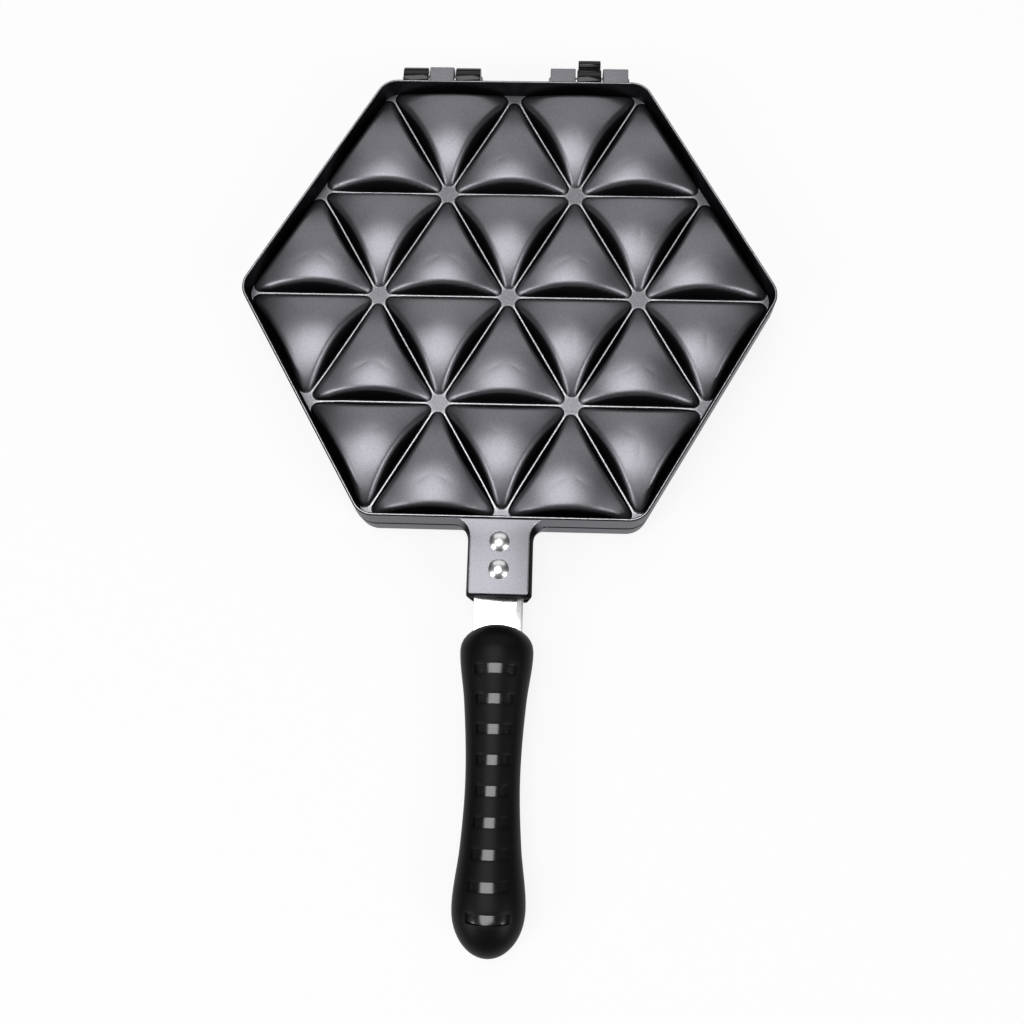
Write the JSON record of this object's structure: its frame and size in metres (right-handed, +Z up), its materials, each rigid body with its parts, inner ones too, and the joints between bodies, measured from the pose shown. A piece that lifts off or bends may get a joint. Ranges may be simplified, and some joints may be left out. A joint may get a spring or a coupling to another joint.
{
  "type": "samosa maker pan",
  "caption": "Hinged double-sided hexagonal pan with triangular pockets and long half-round grips, for shaping and frying filled pastries.",
  "frame": {"origin": "on the table, under the middle of the closed pan's length, on its centre line", "axes": "+Z up through the closed halves, +Y from the grips towards the hinges, +X to the right seen from the grips"},
  "size_m": [0.228, 0.3842, 0.025],
  "materials": {
    "coated_casting": "cast aluminium with a satin dark grey non-stick coating",
    "pin_steel": "turned steel",
    "strap_steel": "bright polished steel",
    "rivet_chrome": "polished",
    "grip_core": "glossy black heat-resistant plastic",
    "grip_sleeve": "matte black soft-touch sleeve",
    "screw_steel": "zinc-plated steel"
  },
  "bodies": {
    "lower_half": {"lower_pan": "coated_casting", "left_hinge_pin": "pin_steel", "right_hinge_pin": "pin_steel", "lower_strap": "strap_steel", "lower_rivet_front": "rivet_chrome", "lower_rivet_rear": "rivet_chrome", "lower_grip_core": "grip_core", "lower_grip_sleeve": "grip_sleeve", "lower_grip_screw_front": "screw_steel", "lower_grip_screw_rear": "screw_steel"},
    "upper_half": {"upper_pan": "coated_casting", "upper_strap": "strap_steel", "upper_rivet_front": "rivet_chrome", "upper_rivet_rear": "rivet_chrome", "upper_grip_core": "grip_core", "upper_grip_sleeve": "grip_sleeve", "upper_grip_screw_front": "screw_steel", "upper_grip_screw_rear": "screw_steel"}
  },
  "joints": [
    {"name": "lid_hinge", "type": "hinge", "parent": "lower_half", "child": "upper_half", "pos_m": [0, 0.18426, 0.0125], "axis": [-1, 0, 0], "range_deg": [0, 100]}
  ]
}
